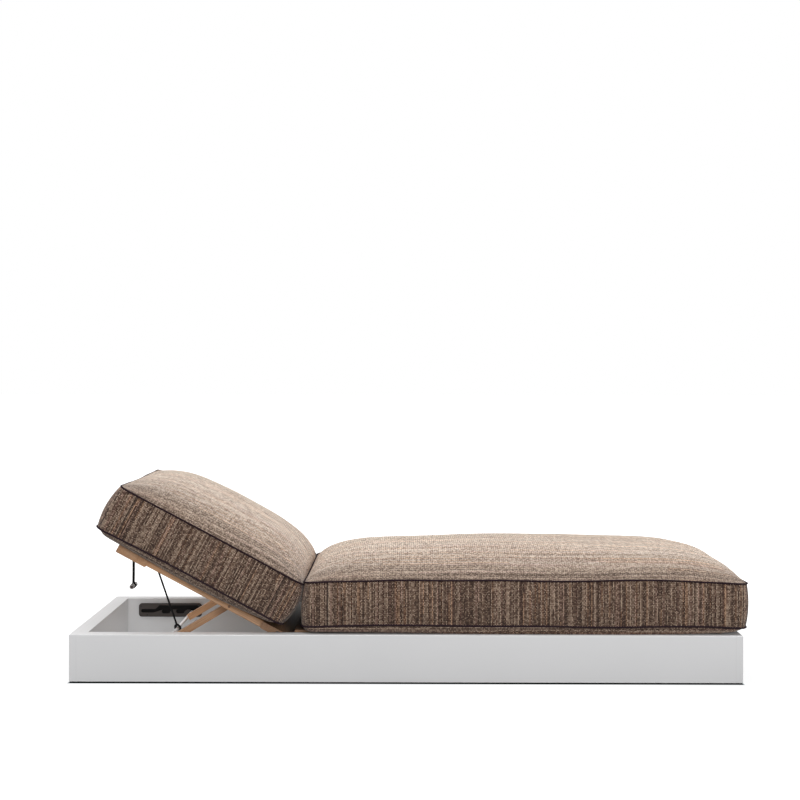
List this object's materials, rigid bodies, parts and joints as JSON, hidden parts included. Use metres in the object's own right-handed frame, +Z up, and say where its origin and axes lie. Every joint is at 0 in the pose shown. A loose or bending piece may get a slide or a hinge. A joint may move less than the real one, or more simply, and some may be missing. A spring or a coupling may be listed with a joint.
{
  "type": "spa relaxation lounger",
  "caption": "Low box-plinth relaxation lounger: slatted seat and raising backrest on a notched prop, with two thick loose cushions and a pull-bar release.",
  "frame": {"origin": "on the floor under the middle of the whole lounger, cushions included", "axes": "+X from the head end to the foot end, +Y from the front side to the back side, +Z up"},
  "size_m": [2.118, 0.8, 0.6378],
  "materials": {
    "painted_panel": "smooth satin light grey lacquer",
    "foot_strip": "matt black",
    "beech_tenon": "raw beech",
    "teak": "oiled teak, fine straight grain",
    "zinc_steel": "dull zinc",
    "polished_steel": "polished stainless steel",
    "dark_moulding": "dark grey brown, fine matt",
    "bush_plastic": "matt black",
    "cushion_cloth": "brown and beige melange weave",
    "black_cord": "black braided cord",
    "black_webbing": "black webbing"
  },
  "bodies": {
    "base": {"plinth_side_front": "painted_panel", "plinth_side_back": "painted_panel", "plinth_head": "painted_panel", "plinth_foot": "painted_panel", "corner_tenons": "beech_tenon", "foot_strip_front": "foot_strip", "foot_strip_back": "foot_strip", "foot_strip_head": "foot_strip", "foot_strip_foot": "foot_strip", "seat_ledger_front": "teak", "seat_ledger_back": "teak", "cross_brace": "teak", "seat_plank_head": "teak", "seat_plank_middle": "teak", "seat_plank_foot": "teak", "seat_slats_head": "teak", "seat_slats_foot": "teak", "pivot_bracket_front": "zinc_steel", "pivot_bracket_back": "zinc_steel", "pivot_pins": "zinc_steel", "notch_plate_front": "dark_moulding", "notch_plate_back": "dark_moulding"},
    "seat_cushion": {"seat_cushion": "cushion_cloth"},
    "backrest": {"head_plank": "teak", "hinge_plank": "teak", "back_slats": "teak", "pivot_bushes": "bush_plastic", "prop_axles": "zinc_steel", "back_cushion": "cushion_cloth", "cord_eyelet": "polished_steel", "strap_run": "black_webbing", "release_cord": "black_cord"},
    "prop": {"prop_arm_front": "teak", "prop_arm_back": "teak", "prop_rod": "polished_steel", "cord_knot": "black_cord"},
    "pull": {"pull_strap": "black_webbing", "pull_bar": "polished_steel", "bar_caps": "bush_plastic"}
  },
  "joints": [
    {"name": "backrest_hinge", "type": "hinge", "parent": "base", "child": "backrest", "pos_m": [-0.4133, 0, 0.145], "axis": [0, 1, 0], "range_deg": [-28.2, 0]},
    {"name": "prop_hinge", "type": "hinge", "parent": "backrest", "child": "prop", "pos_m": [-0.56685, 0, 0.2296], "axis": [0, 1, 0], "range_deg": [0, 48.8], "deforming": ["release_cord"]},
    {"name": "seat_cushion_shift", "type": "slide", "parent": "base", "child": "seat_cushion", "axis": [1, 0, 0], "range_m": [-0.0722, 0]},
    {"name": "pull_swing", "type": "hinge", "parent": "backrest", "child": "pull", "pos_m": [-0.92709, 0, 0.40128], "axis": [0, 1, 0], "range_deg": [-20, 15]}
  ],
  "couplings": [
    {"joint": "prop_hinge", "follows": "backrest_hinge", "ratio": -1.73},
    {"joint": "seat_cushion_shift", "follows": "backrest_hinge", "m_per_rad": 0.1463}
  ]
}
